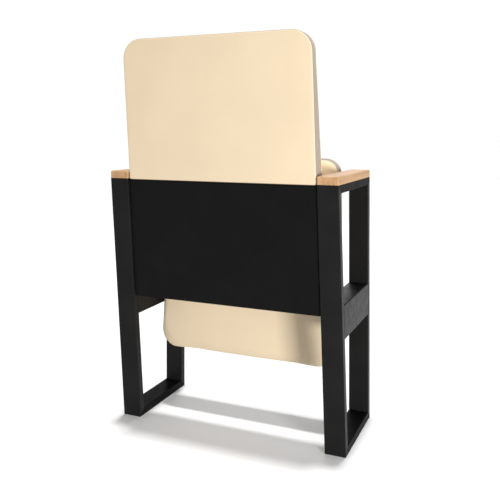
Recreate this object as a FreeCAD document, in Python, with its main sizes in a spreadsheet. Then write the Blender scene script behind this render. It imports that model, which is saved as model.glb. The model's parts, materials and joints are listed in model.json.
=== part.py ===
import FreeCAD, Part

import math
import os
import re

import Sketcher
from FreeCAD import Placement, Rotation, Vector

# Conference chair with a tip-up seat, seen at rest with the seat folded up.
# Frame: +Z up, the sitter faces -Y, left is the sitter's left (+X), the floor is Z = 0,
# and the origin is the middle of the floor that the chair covers. Millimetres.

SIZES = {
    # side frames: a closed loop of flat rectangular steel tube
    "frame_width": 612,
    "frame_top": 639,
    "foot_depth": 242,
    "post_lean": 61.7,  # how far the rear post's top stands behind its foot
    "tube_width": 52,
    "tube_depth": 20,
    "tube_wall": 2,
    "tube_corner": 2,
    "anchor_radius": 4.5,
    "anchor_inset": 38,
    # hinge housing between the posts: folded sheet, open below, closed by a cover
    "housing_bottom": 279,
    "housing_height": 80,
    "housing_wall": 3,
    "housing_corner": 3,
    "cover_thickness": 2.5,
    "cover_gap": 0.5,
    "cover_tab_length": 16,
    # armrests: solid wood on the top rail
    "armrest_thickness": 19,
    "armrest_edge": 3,
    "armrest_screw_inset": 60,
    "screw_radius": 2.5,
    "screw_head_radius": 5,
    "screw_head_height": 3,
    "screw_grip": 12,  # how deep a screw bites into wood
    # backrest: board, black lower panel, upholstered rear shell and front cushion
    "back_side_gap": 2,  # from each side frame
    "back_top": 992,
    "back_corner": 50,
    "back_edge_upper": 41,  # thickness of the upholstered side at the top
    "back_edge_lower": 79,  # and at the cushion's lower end
    "back_cushion_bottom": 402,
    "back_lower_corner": 30,
    "back_crown": 16,
    "back_recess": 6,  # from the rear posts' faces to the rear shell's
    "back_shell_thickness": 6,
    "board_thickness": 12,
    "board_rim": 5,  # foam that wraps the boards' edges
    "panel_bottom": 329.5,
    "panel_thickness": 6,
    "panel_side_gap": 2.7,
    "panel_top_drop": 5.5,  # from the frame's top
    "panel_top_gap": 2.5,
    "panel_stud_radius": 4,
    "panel_stud_inset": 45,
    # what ties the side frames together behind the cushion
    "cross_rail_rise": 51.5,  # its middle, above the panel's lower edge
    "cross_rail_height": 30,
    "cross_rail_overlap": 25,  # its ends lie on the posts' front faces
    "cap_depth": 8,
    "cap_gap": 0.1,
    "lug_centre": 580,
    "lug_height": 44,
    "lug_reach": 48,
    "lug_thickness": 4,
    "bolt_radius": 4,
    "bolt_head_radius": 9,
    "bolt_head_height": 2,
    "nut_radius": 7.5,
    "nut_height": 6.5,
    "bolt_inset": 26,  # from the frame's inner face
    # seat, folded up: its front end is on top
    "seat_side_gap": 4,  # from each side frame
    "seat_rear_end": 162,
    "seat_front_end": 689,
    "seat_front_corner": 42,
    "seat_rear_corner": 50,
    "seat_edge_front": 29,
    "seat_edge_rear": 73,
    "seat_crown": 17,
    "seat_shell_thickness": 8,
    "soft_edge": 9,
    "cushion_shoulder": 118,  # how far the crown takes to rise
    # hinge
    "pivot_setback": 52,  # behind the front face of the front post
    "pivot_to_underside": 18,
    "seat_travel": 80,  # degrees
    "pin_radius": 8,
    "pin_flange_radius": 15,
    "pin_flange_height": 4,
    "bush_wall": 2,
    "bush_gap": 0.03,
    "bush_flange_radius": 14,
    "bush_inside": 3,
    "boss_radius": 14,
    "boss_length": 12,
    "bracket_thickness": 4,
    "bracket_inset": 1,
    "bracket_width": 46,
    "bracket_length": 150,
    "bracket_root": 100,  # height of the ear where it leaves the flange
    "bracket_screw_pitch": 60,
    "bracket_screw_bite": 8,
    "bracket_hub_radius": 17,
    "stop_arm": 27,
    "stop_radius": 4,
    "stop_sleeve_radius": 6,
    "stop_reach": 14,  # how far it stands inside the housing
    "wire_radius": 1.75,
    "coil_radius": 12,
    "coil_pitch": 4.1,
    "coil_end_gap": 6,  # to the boss on the outer wall
    "coil_leg": 30,
    "coil_start": 8,  # from the housing's inner wall
    "stud_radius": 3,
    "stud_arm": 20,
    # fits
    "running_gap": 0.05,
    "seat_gap": 0.3,
    "hole_gap": 0.3,
    "overrun": 1,
}

PART_TURN = 0.75  # of the spring's last turn, which brings its legs to the stop and the stud

# Values that follow from the sizes. In a formula, any name of a size or of one of these may stand.
DERIVED = {
    "rake": "post_lean / frame_top",
    "slant": "sqrt(1 + (post_lean / frame_top)^2)",
    "rear_y": "(foot_depth - rake * back_top + back_recess / slant) / 2",
    "front_y": "rear_y - foot_depth",
    "inner_x": "frame_width / 2 - tube_width",
    "back_width": "2 * (inner_x - back_side_gap)",
    "seat_width": "2 * (inner_x - seat_side_gap)",
    "frame_x": "(frame_width - tube_width) / 2",
    "housing_top": "housing_bottom + housing_height",
    "pivot_y": "front_y + pivot_setback",
    "pivot_z": "housing_bottom + housing_height / 2",
    "underside_y": "pivot_y + pivot_to_underside",
    "seat_length": "seat_front_end - seat_rear_end",
    "board_start": "back_recess + back_shell_thickness",
    "board_front": "board_start + board_thickness",
    "panel_top": "frame_top - panel_top_drop",
    "cross_rail_centre": "panel_bottom + cross_rail_rise",
    "ear_x": "seat_width / 2 - bracket_inset",
    "hinge_gap": "inner_x - ear_x",
    "wall_x": "inner_x + housing_wall",
    "outer_wall_x": "frame_width / 2 - housing_wall",
    "seat_board_front": "seat_shell_thickness + board_thickness",
    "coil_room": "tube_width - 2 * housing_wall - boss_length - coil_start - coil_end_gap",
    "coil_turns": f"floor(coil_room / coil_pitch - {PART_TURN}) + {PART_TURN}",
}

EDGE_STEPS = 3  # rings round a cushion's soft edge
CROWN_STEPS = 4  # rings from the edge to the top of the crown
EDGE_TUCK_SHARE = 0.25  # of the soft edge, drawn in where a cushion meets its shell
LEAST_CORNER_SHARE = 1 / 3  # what is left of a cushion's corner radius on its crown
BEVEL_SHARE = 0.4  # of a bracket's hub radius, for its blunt corners
WIRE_SIDES = 8  # flats round the spring's wire, which keep its surface simple
HALF_TURNS = 2  # in a turn; the spring's wire is bent in pairs of arcs, each about half a turn

doc = FreeCAD.newDocument("conference_chair")
sheet = doc.addObject("Spreadsheet::Sheet", "Sizes")
for row, (alias, value) in enumerate(SIZES.items(), start=1):
    sheet.set(f"A{row}", alias)
    sheet.set(f"B{row}", str(value))
    sheet.setAlias(f"B{row}", alias)
doc.recompute()


def formula(text):
    """The expression for a formula written with the names of sizes and derived values."""

    def swap(match):
        word = match.group(0)
        if word in DERIVED:
            return "(" + formula(DERIVED[word]) + ")"
        return "Sizes." + word if word in SIZES else word

    return re.sub(r"[a-z][a-z_]*", swap, str(text))


def value_of(text):
    """The number that a formula gives with the sheet's present sizes."""
    return float(sheet.evalExpression(formula(text)))


# Helpers for bodies and sketches


def new_body(label, y="0", z="0"):
    body = doc.addObject("PartDesign::Body", label)
    body.Label = label
    body.setExpression("Placement.Base.y", formula(y))
    body.setExpression("Placement.Base.z", formula(z))
    return body


def lean_back(body):
    """Stands a body in the backrest's plane: local Z runs up the rake and -Y points forward."""
    body.Placement = Placement(Vector(), Rotation(Vector(1, 0, 0), -1))
    body.setExpression("Placement.Base.y", formula("rear_y"))
    body.setExpression("Placement.Rotation.Angle", formula("-atan(post_lean / frame_top)"))


def turn_to_rear(body):
    """Turns a seat body round: -Y of the body points from the seat's underside to the sitting surface."""
    body.Placement = Placement(Vector(), Rotation(Vector(0, 0, 1), 180))
    body.setExpression("Placement.Base.y", formula("underside_y"))
    body.setExpression("Placement.Base.z", formula("seat_rear_end"))


def sketch_on(body, plane, offset="0"):
    sketch = body.newObject("Sketcher::SketchObject", body.Label + "_sketch")
    support = [f for f in body.Origin.OriginFeatures if f.Role == plane][0]
    sketch.AttachmentSupport = (support, [""])
    sketch.MapMode = "FlatFace"
    sketch.setExpression("AttachmentOffset.Base.z", formula(offset))
    return sketch


def place_point(sketch, geometry, point, x, y):
    """Ties one point of a sketch's geometry to its place from the sketch's origin."""
    for kind, text in (("DistanceX", x), ("DistanceY", y)):
        number = sketch.addConstraint(
            Sketcher.Constraint(kind, -1, 1, geometry, point, value_of(text))
        )
        sketch.setExpression(f"Constraints[{number}]", formula(text))


def polygon(sketch, corners):
    """A closed outline of straight lines; each corner is a pair of formulas."""
    points = [Vector(value_of(x), value_of(y), 0) for x, y in corners]
    ends = points[1:] + points[:1]
    lines = [
        sketch.addGeometry(Part.LineSegment(a, b), False) for a, b in zip(points, ends)
    ]
    for here, after in zip(lines, lines[1:] + lines[:1]):
        sketch.addConstraint(Sketcher.Constraint("Coincident", here, 2, after, 1))
    for line, (x, y) in zip(lines, corners):
        place_point(sketch, line, 1, x, y)


def rectangle(sketch, x0, x1, y0, y1):
    polygon(sketch, [(x0, y0), (x1, y0), (x1, y1), (x0, y1)])


def circle(sketch, x, y, radius):
    centre = Vector(value_of(x), value_of(y), 0)
    ring = sketch.addGeometry(
        Part.Circle(centre, Vector(0, 0, 1), value_of(radius)), False
    )
    place_point(sketch, ring, 3, x, y)
    number = sketch.addConstraint(
        Sketcher.Constraint("Radius", ring, value_of(radius))
    )
    sketch.setExpression(f"Constraints[{number}]", formula(radius))


def add(body, kind, sketch, length, middle=False, back=False):
    """A Pad or Pocket of a sketch."""
    feature = body.newObject("PartDesign::" + kind, body.Label + "_" + kind.lower())
    feature.Profile = sketch
    feature.Midplane = middle
    feature.Reversed = back
    feature.setExpression("Length", formula(length))
    sketch.Visibility = False
    return feature


def turned(body, sketch):
    """A Revolution of a sketch about the body's X axis."""
    feature = body.newObject("PartDesign::Revolution", body.Label + "_revolution")
    feature.Profile = sketch
    axis = [f for f in body.Origin.OriginFeatures if f.Role == "X_Axis"][0]
    feature.ReferenceAxis = (axis, [""])
    feature.Angle = 360
    return feature


def round_edges(body, base, radius, wanted, kind="Fillet"):
    """Fillets or chamfers the edges of a feature for which wanted(edge) is true."""
    doc.recompute()
    names = [f"Edge{n}" for n, e in enumerate(base.Shape.Edges, start=1) if wanted(e)]
    if not names:
        raise ValueError(f"{body.Label}: no edge to round")
    feature = body.newObject("PartDesign::" + kind, body.Label + "_" + kind.lower())
    feature.Base = (base, names)
    size = "Radius" if kind == "Fillet" else "Size"
    feature.setExpression(size, formula(radius))
    return feature


def runs_along(edge, axis):
    """True for a straight edge that runs nearly along an axis of the body."""
    if edge.Curve.TypeId != "Part::GeomLine":
        return False
    direction = edge.tangentAt(edge.FirstParameter)
    return abs(direction.dot(axis)) > 0.9


X_WAY = Vector(1, 0, 0)
Y_WAY = Vector(0, 1, 0)
Z_WAY = Vector(0, 0, 1)


def leaning_y(height, depth):
    """Y of a point of the rear post: at a height, and so far in front of the raked rear face."""
    return f"rear_y + rake * ({height}) - slant * ({depth})"


# Side frame


def tube(label, outer, inner, long_way):
    """A length of rectangular tube with mitred ends, from its side outline and its bore's."""
    body = new_body(label)
    outline = sketch_on(body, "YZ_Plane", "frame_x")
    polygon(outline, outer)
    bar = add(body, "Pad", outline, "tube_width", middle=True)
    bar = round_edges(body, bar, "tube_corner", lambda e: runs_along(e, long_way))
    bore = sketch_on(body, "YZ_Plane", "frame_x")
    polygon(bore, inner)
    add(body, "Pocket", bore, "tube_width - 2 * tube_wall", middle=True)
    return body


def loop_corners(depth):
    """The four corners of the frame's loop, so far in from its outer faces."""
    low = depth
    high = f"frame_top - ({depth})"
    return {
        "rear_foot": (leaning_y(low, depth), low),
        "rear_top": (leaning_y(high, depth), high),
        "front_top": (f"front_y + ({depth})", high),
        "front_foot": (f"front_y + ({depth})", low),
    }


def side_of_loop(start, end, near, far):
    """Outline of one side of the loop, between two depths from its outer faces."""
    outer = loop_corners(near)
    inner = loop_corners(far)
    return [outer[start], outer[end], inner[end], inner[start]]


def loop_tube(label, start, end, long_way):
    return tube(
        label,
        side_of_loop(start, end, "0", "tube_depth"),
        side_of_loop(start, end, "tube_wall", "tube_depth - tube_wall"),
        long_way,
    )


def rear_post():
    return loop_tube("rear_post_left", "rear_foot", "rear_top", Z_WAY)


def front_post():
    return loop_tube("front_post_left", "front_foot", "front_top", Z_WAY)


def anchor_places():
    return ["front_y + anchor_inset", "rear_y - anchor_inset"]


def bottom_rail():
    """The foot, with two holes right through it for floor anchors."""
    body = loop_tube("bottom_rail_left", "rear_foot", "front_foot", Y_WAY)
    holes = sketch_on(body, "XY_Plane")
    for y in anchor_places():
        circle(holes, "frame_x", y, "anchor_radius")
    add(body, "Pocket", holes, "tube_depth + overrun", back=True)
    return body


def armrest_screw_places():
    rear = leaning_y("frame_top", "0")
    return ["front_y + armrest_screw_inset", f"{rear} - armrest_screw_inset"]


def top_rail():
    """The rail under the armrest, drilled for the armrest's screws."""
    body = loop_tube("top_rail_left", "rear_top", "front_top", Y_WAY)
    holes = sketch_on(body, "XY_Plane", "frame_top - tube_depth - overrun")
    for y in armrest_screw_places():
        circle(holes, "frame_x", y, "screw_radius + hole_gap")
    add(body, "Pocket", holes, "tube_depth + 2 * overrun", back=True)
    return body


def armrest():
    """A beech slab with eased edges, flush with the frame on every side."""
    body = new_body("armrest_left")
    outline = sketch_on(body, "YZ_Plane", "frame_x")
    rear = leaning_y("frame_top", "0")
    rectangle(outline, "front_y", rear, "frame_top", "frame_top + armrest_thickness")
    slab = add(body, "Pad", outline, "tube_width", middle=True)
    floor = value_of("frame_top")
    half = value_of("armrest_thickness") / 2

    def above_the_frame(edge):
        return edge.CenterOfMass.z > floor + half / 2

    round_edges(body, slab, "armrest_edge", above_the_frame)
    holes = sketch_on(body, "XY_Plane", "frame_top")
    for y in armrest_screw_places():
        circle(holes, "frame_x", y, "screw_radius")
    add(body, "Pocket", holes, "screw_grip", back=True)
    return body


def armrest_screws():
    """Two pan-head screws from below, through the rail into the wood."""
    body = new_body("armrest_screws_left")
    for offset, radius, length in (
        ("frame_top - tube_depth - screw_head_height", "screw_head_radius", "screw_head_height"),
        ("frame_top - tube_depth", "screw_radius", "tube_depth + screw_grip"),
    ):
        rings = sketch_on(body, "XY_Plane", offset)
        for y in armrest_screw_places():
            circle(rings, "frame_x", y, radius)
        add(body, "Pad", rings, length)
    return body


# Hinge housing. The hinge bodies have their origin on the hinge axis, which is their X axis.


def housing():
    """Folded steel housing between the posts, open below, with the stop's slot in its inner wall."""
    body = new_body("hinge_housing_left", "pivot_y", "pivot_z")
    half = "housing_height / 2"
    rear_low = f"{leaning_y('housing_bottom', 'tube_depth')} - pivot_y"
    rear_high = f"{leaning_y('housing_top', 'tube_depth')} - pivot_y"
    front = "front_y + tube_depth - pivot_y"
    outline = sketch_on(body, "YZ_Plane", "frame_x")
    polygon(outline, [(front, f"-{half}"), (rear_low, f"-{half}"), (rear_high, half), (front, half)])
    box = add(body, "Pad", outline, "tube_width", middle=True)
    top = value_of(half)

    def fold(edge):
        return runs_along(edge, Y_WAY) and abs(edge.CenterOfMass.z - top) < value_of("housing_corner")

    round_edges(body, box, "housing_corner", fold)
    roof = f"{half} - housing_wall"
    hollow = sketch_on(body, "YZ_Plane", "frame_x")
    rear_roof = f"{leaning_y('housing_top - housing_wall', 'tube_depth')} - pivot_y"
    polygon(hollow, [(front, f"-{half}"), (rear_low, f"-{half}"), (rear_roof, roof), (front, roof)])
    add(body, "Pocket", hollow, "tube_width - 2 * housing_wall", middle=True)
    cover_tabs(body, front, rear_low)
    boss = sketch_on(body, "YZ_Plane", "outer_wall_x")
    circle(boss, "0", "0", "boss_radius")
    add(body, "Pad", boss, "boss_length", back=True)
    bore = sketch_on(body, "YZ_Plane", "outer_wall_x")
    circle(bore, "0", "0", "pin_radius + running_gap")
    add(body, "Pocket", bore, "boss_length + overrun")
    bush_hole = sketch_on(body, "YZ_Plane", "wall_x + overrun")
    circle(bush_hole, "0", "0", "pin_radius + bush_wall + bush_gap")
    add(body, "Pocket", bush_hole, "housing_wall + 2 * overrun")
    stop_slot(body)
    return body


def cover_tabs(body, front, rear):
    """Small inward folds at both ends, which carry the bottom cover."""
    low = "-housing_height / 2 + cover_thickness"
    tabs = sketch_on(body, "XY_Plane", low)
    sides = ("inner_x + housing_wall / 2", "frame_width / 2 - housing_wall / 2")
    rectangle(tabs, *sides, front, f"{front} + cover_tab_length")
    rectangle(tabs, *sides, f"{rear} - cover_tab_length", rear)
    add(body, "Pad", tabs, "housing_wall")
    holes = sketch_on(body, "XY_Plane", low)
    for y in (f"{front} + cover_tab_length / 2", f"{rear} - cover_tab_length / 2"):
        circle(holes, "frame_x", y, "screw_radius")
    add(body, "Pocket", holes, "housing_wall", back=True)


def stop_slot(body):
    """An arc about the hinge axis through the inner wall, with round ends."""
    arc = sketch_on(body, "XY_Plane")
    width = "stop_sleeve_radius + seat_gap"
    reach = ("inner_x - overrun", "wall_x + overrun")
    rectangle(arc, *reach, f"stop_arm - ({width})", f"stop_arm + {width}")
    groove = body.newObject("PartDesign::Groove", body.Label + "_slot")
    groove.Profile = arc
    axis = [f for f in body.Origin.OriginFeatures if f.Role == "X_Axis"][0]
    groove.ReferenceAxis = (axis, [""])
    groove.Reversed = True
    groove.setExpression("Angle", formula("seat_travel"))
    ends = sketch_on(body, "YZ_Plane", "wall_x + overrun")
    for turn in ("0", "-seat_travel"):
        circle(ends, f"stop_arm * cos({turn})", f"stop_arm * sin({turn})", width)
        add(body, "Pocket", ends, "housing_wall + 2 * overrun")
        ends = sketch_on(body, "YZ_Plane", "wall_x + overrun")
    body.removeObject(ends)
    doc.removeObject(ends.Name)


def housing_cover():
    """Plate that closes the housing from below."""
    body = new_body("housing_cover_left", "pivot_y", "pivot_z")
    front = "front_y + tube_depth - pivot_y"
    rear = f"{leaning_y('housing_bottom', 'tube_depth')} - pivot_y"
    plate = sketch_on(body, "XY_Plane", "-housing_height / 2")
    side = "housing_wall + cover_gap"
    near = f"inner_x + {side}"
    far = f"frame_width / 2 - ({side})"
    rectangle(plate, near, far, f"{front} + cover_gap", f"{rear} - cover_gap")
    add(body, "Pad", plate, "cover_thickness")
    return body


def hinge_bush():
    """Nylon bush with a flange that keeps the seat off the housing."""
    body = new_body("hinge_bush_left", "pivot_y", "pivot_z")
    profile = sketch_on(body, "XY_Plane")
    bore = "pin_radius + running_gap"
    sleeve = "pin_radius + bush_wall"
    flange_face = "ear_x + seat_gap"
    polygon(
        profile,
        [
            (flange_face, bore),
            ("wall_x + bush_inside", bore),
            ("wall_x + bush_inside", sleeve),
            ("inner_x", sleeve),
            ("inner_x", "bush_flange_radius"),
            (flange_face, "bush_flange_radius"),
        ],
    )
    turned(body, profile)
    return body


def pivot_pin():
    """Flanged pin, fixed to the seat bracket, that turns in the bush and the boss."""
    body = new_body("pivot_pin_left", "pivot_y", "pivot_z")
    profile = sketch_on(body, "XY_Plane")
    inner_face = "ear_x - bracket_thickness"
    polygon(
        profile,
        [
            (f"{inner_face} - pin_flange_height", "0"),
            ("outer_wall_x - seat_gap", "0"),
            ("outer_wall_x - seat_gap", "pin_radius"),
            (inner_face, "pin_radius"),
            (inner_face, "pin_flange_radius"),
            (f"{inner_face} - pin_flange_height", "pin_flange_radius"),
        ],
    )
    turned(body, profile)
    return body


def stop_place():
    return ("stop_arm * cos(seat_travel)", "-stop_arm * sin(seat_travel)")


def stop_pin():
    """Steel stop in the bracket's ear; it moves in the housing's slot."""
    body = new_body("stop_pin_left", "pivot_y", "pivot_z")
    ring = sketch_on(body, "YZ_Plane", "ear_x - bracket_thickness")
    circle(ring, *stop_place(), "stop_radius")
    add(body, "Pad", ring, "bracket_thickness + hinge_gap + housing_wall + stop_reach")
    return body


def stop_sleeve():
    """Rubber sleeve on the stop, which takes the knock at both ends of the slot."""
    body = new_body("stop_sleeve_left", "pivot_y", "pivot_z")
    rings = sketch_on(body, "YZ_Plane", "inner_x - seat_gap")
    circle(rings, *stop_place(), "stop_sleeve_radius")
    circle(rings, *stop_place(), "stop_radius + running_gap")
    add(body, "Pad", rings, "housing_wall + 2 * seat_gap")
    return body


def seat_bracket():
    """Steel angle: a flange under the seat board and an ear that holds the pivot pin."""
    body = new_body("seat_bracket_left", "pivot_y", "pivot_z")
    root = "pivot_to_underside + seat_shell_thickness"
    half = "bracket_length / 2"
    flange = sketch_on(body, "XY_Plane", f"-{half}")
    polygon(
        flange,
        [
            ("ear_x - bracket_width", root),
            ("ear_x - bracket_width", f"{root} - bracket_thickness"),
            ("ear_x", f"{root} - bracket_thickness"),
            ("ear_x", root),
        ],
    )
    add(body, "Pad", flange, "bracket_length")
    ear = sketch_on(body, "YZ_Plane", "ear_x - bracket_thickness")
    ear_outline(ear, root)
    add(body, "Pad", ear, "bracket_thickness")
    bores = sketch_on(body, "YZ_Plane", "ear_x + overrun")
    circle(bores, "0", "0", "pin_radius + running_gap")
    circle(bores, *stop_place(), "stop_radius + running_gap")
    add(body, "Pocket", bores, "bracket_thickness + 2 * overrun")
    holes = sketch_on(body, "XZ_Plane", f"-({root} - bracket_thickness - overrun)")
    for share in (-1, 0, 1):
        height = f"{share} * bracket_screw_pitch"
        circle(holes, "ear_x - bracket_width / 2", height, "screw_radius + hole_gap")
    add(body, "Pocket", holes, "bracket_thickness + 2 * overrun")
    return body


def ear_outline(sketch, root):
    """Tapered ear: wide at the flange, blunt round the pin and the stop."""
    hub = "bracket_hub_radius"
    stop_y, stop_z = stop_place()
    hub_bevel = f"{hub} * {BEVEL_SHARE}"
    around = "stop_radius * 2"
    bevel = f"({around}) * {BEVEL_SHARE}"
    polygon(
        sketch,
        [
            (root, "bracket_root / 2"),
            (f"{root} - bracket_thickness", "bracket_root / 2"),
            (f"-{hub_bevel}", hub),
            (f"-{hub}", hub_bevel),
            (f"-{hub}", f"-{hub_bevel}"),
            (f"{stop_y} - ({around})", f"{stop_z} - {bevel}"),
            (f"{stop_y} - {bevel}", f"{stop_z} - ({around})"),
            (f"{stop_y} + {bevel}", f"{stop_z} - ({around})"),
            (root, "-bracket_root / 2"),
        ],
    )


def spring_stud():
    """Stud on the outer wall that holds the spring's fixed leg."""
    body = new_body("spring_stud_left", "pivot_y", "pivot_z")
    ring = sketch_on(body, "YZ_Plane", "outer_wall_x")
    drop = "coil_radius - wire_radius - stud_radius - seat_gap"
    circle(ring, "stud_arm", f"-({drop})", "stud_radius")
    leg_x = "wall_x + coil_start + coil_pitch * coil_turns"
    add(body, "Pad", ring, f"outer_wall_x - ({leg_x}) + 2 * wire_radius", back=True)
    return body


def two_arcs(start, start_way, end, end_way):
    """Two arcs that join without a bend and leave and arrive in the given directions."""
    chord = end - start
    both = start_way + end_way
    turn = 2 * (start_way.dot(end_way) - 1)
    slope = -2 * chord.dot(both)
    reach = (-slope - math.sqrt(slope**2 - 4 * turn * chord.dot(chord))) / (2 * turn)
    first_corner = start + start_way * reach
    last_corner = end - end_way * reach
    joint = (first_corner + last_corner) / 2
    return [
        arc_round(start, first_corner, joint),
        arc_round(joint, last_corner, end),
    ]


def arc_round(start, corner, end):
    """The arc that touches the lines from a corner to two points, which are equally far from it."""
    middle = (start + end) / 2
    rise = (corner - middle).Length
    half = (end - start).Length / 2
    radius = half * (corner - start).Length / rise
    top = middle + (corner - middle) * ((radius - math.sqrt(radius**2 - half**2)) / rise)
    return Part.Arc(start, top, end).toShape()


def blunt_ring(radius, centre, way):
    """A nearly round outline of straight lines, square to a direction."""
    across = way.cross(X_WAY).normalize()
    upward = way.cross(across)
    points = []
    for side in range(WIRE_SIDES + 1):
        turn = 2 * math.pi * side / WIRE_SIDES
        points.append(centre + (across * math.cos(turn) + upward * math.sin(turn)) * radius)
    return Part.makePolygon(points)


def return_spring():
    """Torsion spring round the pivot pin, with as many turns as fit before the boss.

    One leg lies on the stop pin, the other under the stud.
    """
    radius = value_of("coil_radius")
    pitch = value_of("coil_pitch")
    turns = value_of("coil_turns")
    leg = value_of("coil_leg")
    clear = value_of("stop_radius + wire_radius + seat_gap")
    stop_turn = -math.radians(value_of("seat_travel"))
    first = stop_turn + math.acos((radius - clear) / value_of("stop_arm"))
    start = value_of("wall_x + coil_start")

    def on_coil(turns):
        angle = first + 2 * math.pi * turns
        return Vector(start + pitch * turns, radius * math.cos(angle), radius * math.sin(angle))

    def way(turns):
        angle = first + 2 * math.pi * turns
        rise = pitch / (2 * math.pi * radius)
        along = Vector(rise, -math.sin(angle), math.cos(angle))
        return along.normalize()

    arcs = []
    spans = math.ceil(turns * HALF_TURNS)
    for span in range(spans):
        here = turns * span / spans
        there = turns * (span + 1) / spans
        arcs += two_arcs(on_coil(here), way(here), on_coil(there), way(there))
    tail = Part.makeLine(on_coil(0) - way(0) * leg, on_coil(0))
    head = Part.makeLine(on_coil(turns), on_coil(turns) + way(turns) * leg)
    path = Part.Wire([tail] + arcs + [head])
    ring = blunt_ring(value_of("wire_radius"), on_coil(0) - way(0) * leg, way(0))
    spring = doc.addObject("Part::Feature", "return_spring_left")
    spring.Label = "return_spring_left"
    spring.Shape = path.makePipeShell([ring], True, False)
    spring.Placement = Placement(Vector(0, value_of("pivot_y"), value_of("pivot_z")), Rotation())
    return spring


# Backrest. Its bodies lie in the raked plane: X, then height up the rake, then depth from its rear face.


def up_the_rake(height):
    return f"slant * ({height})"


def slab(body, half_width, low, high, start, thickness):
    """A flat board across the chair: its outline is in the body's XZ plane."""
    outline = sketch_on(body, "XZ_Plane", start)
    rectangle(outline, f"-({half_width})", half_width, low, high)
    return add(body, "Pad", outline, thickness)


def corners_at(height):
    """Picks a slab's corner edges that stand at a height of the body."""
    level = value_of(height)

    def wanted(edge):
        return runs_along(edge, Y_WAY) and abs(edge.CenterOfMass.z - level) < value_of("overrun")

    return wanted


def back_board():
    """Plywood board of the whole backrest, routed in front for the cross rail and the lugs."""
    body = new_body("back_board")
    lean_back(body)
    half = "back_width / 2 - board_rim"
    low = up_the_rake("panel_bottom + panel_thickness")
    high = up_the_rake("back_top") + " - board_rim"
    board = slab(body, half, low, high, "board_start", "board_thickness")
    round_edges(body, board, "back_corner - board_rim", corners_at(high))
    routed = sketch_on(body, "XZ_Plane", "board_front")
    middle = up_the_rake("cross_rail_centre")
    rail_half = "cross_rail_height / 2 + hole_gap"
    side = f"{half} + overrun"
    rectangle(routed, f"-({side})", side, f"{middle} - ({rail_half})", f"{middle} + {rail_half}")
    middle = up_the_rake("lug_centre")
    lug_half = "lug_height / 2 + hole_gap"
    for sign in ("-", ""):
        near = f"{sign}(inner_x - lug_reach - hole_gap)"
        far = f"{sign}({side})"
        rectangle(routed, near, far, f"{middle} - ({lug_half})", f"{middle} + {lug_half}")
    add(body, "Pocket", routed, "board_front - tube_depth")
    holes = sketch_on(body, "XZ_Plane", "board_front + overrun")
    bolt_circles(holes, "bolt_radius + hole_gap")
    add(body, "Pocket", holes, "board_thickness + 2 * overrun")
    heads = sketch_on(body, "XZ_Plane", "board_start + bolt_head_height")
    bolt_circles(heads, "bolt_head_radius + hole_gap")
    add(body, "Pocket", heads, "bolt_head_height + overrun")
    studs = sketch_on(body, "XZ_Plane", "board_start + panel_thickness + hole_gap")
    stud_circles(studs, "panel_stud_radius + running_gap")
    add(body, "Pocket", studs, "panel_thickness + hole_gap + overrun")
    return body


def bolt_circles(sketch, radius):
    for side in ("-", ""):
        for centre in ("cross_rail_centre", "lug_centre"):
            circle(sketch, f"{side}(inner_x - bolt_inset)", up_the_rake(centre), radius)


def stud_circles(sketch, radius):
    for share in (-1, 0, 1):
        for height in ("panel_bottom + 2 * panel_stud_inset", "panel_top - panel_stud_inset"):
            circle(sketch, f"{share} * (back_width / 2 - 2 * panel_stud_inset)", up_the_rake(height), radius)


def rear_panel():
    """Black panel across the back between the posts, a little behind their faces."""
    body = new_body("rear_panel")
    lean_back(body)
    start = "board_start - panel_thickness"
    half = "inner_x - panel_side_gap"
    low = up_the_rake("panel_bottom")
    high = up_the_rake("panel_top")
    slab(body, half, low, high, start, "panel_thickness")
    return body


def panel_studs():
    """Push-in studs that hold the panel on the board."""
    body = new_body("panel_studs")
    lean_back(body)
    rings = sketch_on(body, "XZ_Plane", "board_start")
    stud_circles(rings, "panel_stud_radius")
    add(body, "Pad", rings, "panel_thickness")
    return body


def back_shell():
    """Upholstered pad on the rear of the backrest, above the black panel."""
    body = new_body("back_shell")
    lean_back(body)
    low = up_the_rake("panel_top + panel_top_gap")
    high = up_the_rake("back_top")
    pad = slab(body, "back_width / 2", low, high, "back_recess", "back_shell_thickness")
    round_edges(body, pad, "back_corner", corners_at(high))
    return body


def cross_rail():
    """Tube that ties the two side frames together, welded to the posts' front faces."""
    body = new_body("cross_rail")
    lean_back(body)
    half = "inner_x + cross_rail_overlap"
    middle = up_the_rake("cross_rail_centre")
    section = sketch_on(body, "YZ_Plane")
    low = f"{middle} - cross_rail_height / 2"
    high = f"{middle} + cross_rail_height / 2"
    rectangle(section, "-2 * tube_depth", "-tube_depth", low, high)
    bar = add(body, "Pad", section, f"2 * ({half})", middle=True)
    round_edges(body, bar, "tube_corner", lambda e: runs_along(e, X_WAY))
    bore = sketch_on(body, "YZ_Plane")
    front = "-2 * tube_depth + tube_wall"
    rear = "-tube_depth - tube_wall"
    rectangle(bore, front, rear, f"{low} + tube_wall", f"{high} - tube_wall")
    add(body, "Pocket", bore, f"2 * ({half} + overrun)", middle=True)
    holes = sketch_on(body, "XZ_Plane", "2 * tube_depth + overrun")
    for side in ("-", ""):
        circle(holes, f"{side}(inner_x - bolt_inset)", middle, "bolt_radius + hole_gap")
    add(body, "Pocket", holes, "tube_depth + 2 * overrun")
    return body


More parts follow.
